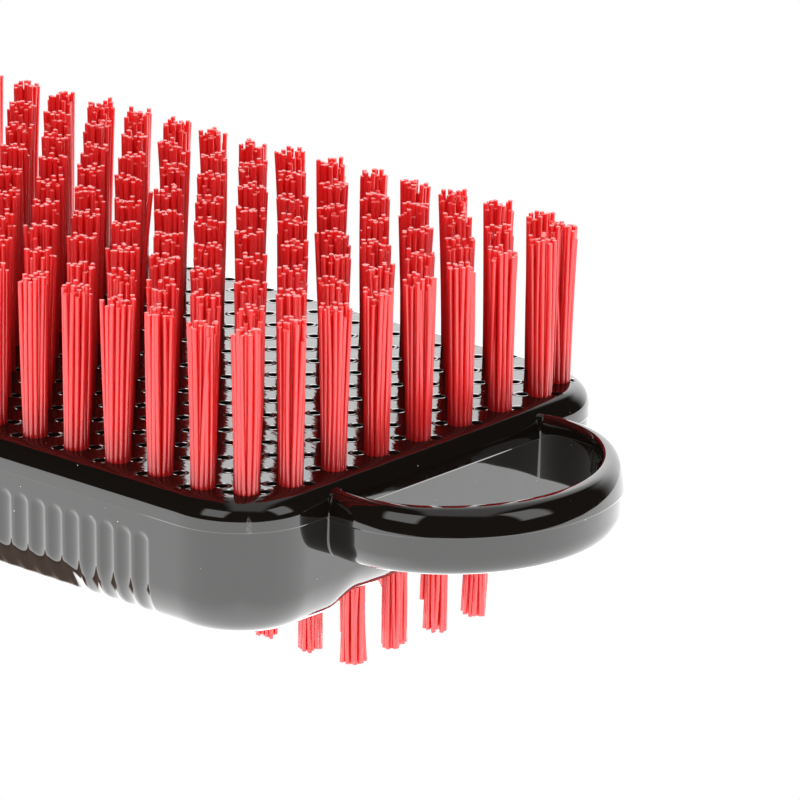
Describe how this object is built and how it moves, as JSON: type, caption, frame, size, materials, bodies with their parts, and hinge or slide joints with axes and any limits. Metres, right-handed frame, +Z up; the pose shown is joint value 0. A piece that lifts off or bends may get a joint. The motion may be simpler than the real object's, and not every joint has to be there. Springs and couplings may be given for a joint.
{
  "type": "nail brush",
  "caption": "Double-sided hand and nail brush: tall bristle tufts on top, short nail tufts below, a moulded grip with fluted sides and a D-shaped hanging loop at one end.",
  "frame": {"origin": "on the plane that the nail tufts rest on, under the middle of the outline, hanging loop included", "axes": "+X along the brush towards the hanging loop, +Y across the rows of tufts, +Z up through the long tufts; right-handed"},
  "size_m": [0.0878, 0.0442, 0.0291],
  "materials": {
    "moulding": "deep black polypropylene, mirror gloss",
    "bristles": "bright red nylon filaments, satin, slightly translucent",
    "anchors": "plain flat metal strip"
  },
  "bodies": {
    "root": {"brush_body": "moulding", "main_tufts_row_1": "bristles", "main_tufts_row_2": "bristles", "main_tufts_row_3": "bristles", "main_tufts_row_4": "bristles", "main_tufts_row_5": "bristles", "main_tufts_row_6": "bristles", "main_tufts_row_7": "bristles", "main_tufts_row_8": "bristles", "main_tufts_row_9": "bristles", "nail_tufts_row_1": "bristles", "nail_tufts_row_2": "bristles", "nail_tufts_row_3": "bristles", "nail_tufts_row_4": "bristles", "main_anchors_row_1": "anchors", "main_anchors_row_2": "anchors", "main_anchors_row_3": "anchors", "main_anchors_row_4": "anchors", "main_anchors_row_5": "anchors", "main_anchors_row_6": "anchors", "main_anchors_row_7": "anchors", "main_anchors_row_8": "anchors", "main_anchors_row_9": "anchors", "nail_anchors_row_1": "anchors", "nail_anchors_row_2": "anchors", "nail_anchors_row_3": "anchors", "nail_anchors_row_4": "anchors"}
  },
  "joints": []
}
